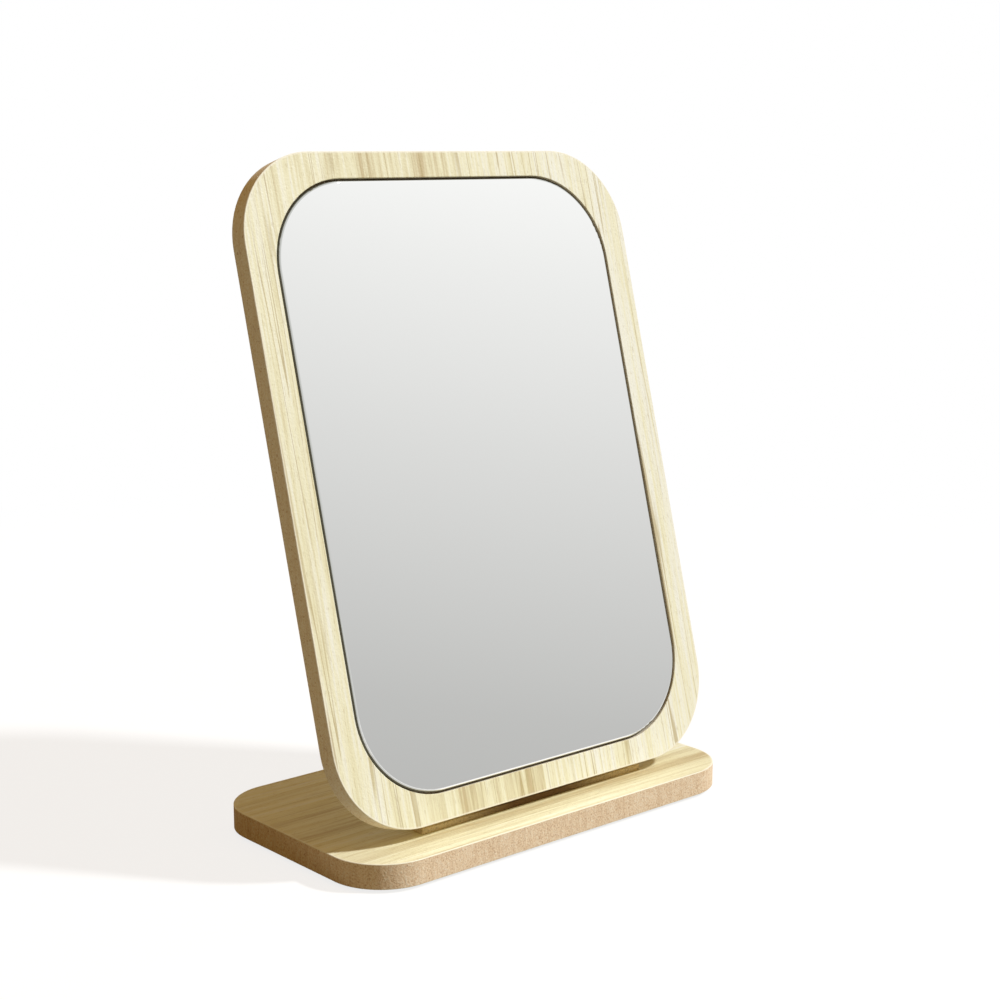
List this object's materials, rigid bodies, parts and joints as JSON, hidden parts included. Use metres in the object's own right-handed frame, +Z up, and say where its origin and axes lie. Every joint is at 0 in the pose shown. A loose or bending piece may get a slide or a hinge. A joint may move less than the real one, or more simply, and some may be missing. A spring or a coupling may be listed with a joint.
{
  "type": "vanity mirror",
  "caption": "Tabletop vanity mirror: a rounded glass let flush into a wood-film faced board, which tilts on friction hinges above a flat rounded base.",
  "frame": {"origin": "on the table under the middle of the base, at the underside of the foot pads", "axes": "+X to the right of someone who looks into the mirror, +Y to the back, +Z up"},
  "size_m": [0.21, 0.115, 0.2884],
  "materials": {
    "wood_film": "satin printed wood-grain film, pale yellow oak",
    "fibreboard": "bare cut edge of medium-density fibreboard",
    "hardboard": "smooth brown hardboard",
    "mirror": "silvered glass with a polished round edge",
    "foam_tape": "white double-sided foam tape",
    "hinge_steel": "brushed nickel-plated steel",
    "pin_steel": "bright drawn steel",
    "disc_nylon": "natural nylon",
    "screw_zinc": "bright zinc plate",
    "pad_rubber": "matt black rubber"
  },
  "bodies": {
    "base": {"base_board": "fibreboard", "base_top_film": "wood_film", "base_bottom_film": "wood_film", "foot_pads": "pad_rubber", "hinge_rail": "hardboard", "base_leaf_left": "hinge_steel", "base_leaf_right": "hinge_steel", "base_leaf_screws": "screw_zinc", "hinge_pin_left": "pin_steel", "hinge_pin_right": "pin_steel", "friction_discs_left": "disc_nylon", "friction_discs_right": "disc_nylon"},
    "mirror": {"panel_board": "fibreboard", "panel_front_film": "wood_film", "panel_back_film": "wood_film", "mirror_glass": "mirror", "mirror_tape": "foam_tape", "panel_leaf_left": "hinge_steel", "panel_leaf_right": "hinge_steel", "panel_leaf_screws": "screw_zinc"}
  },
  "joints": [
    {"name": "tilt", "type": "hinge", "parent": "base", "child": "mirror", "pos_m": [0, -0.0308, 0.01715], "axis": [-1, 0, 0], "range_deg": [-15, 75]}
  ]
}
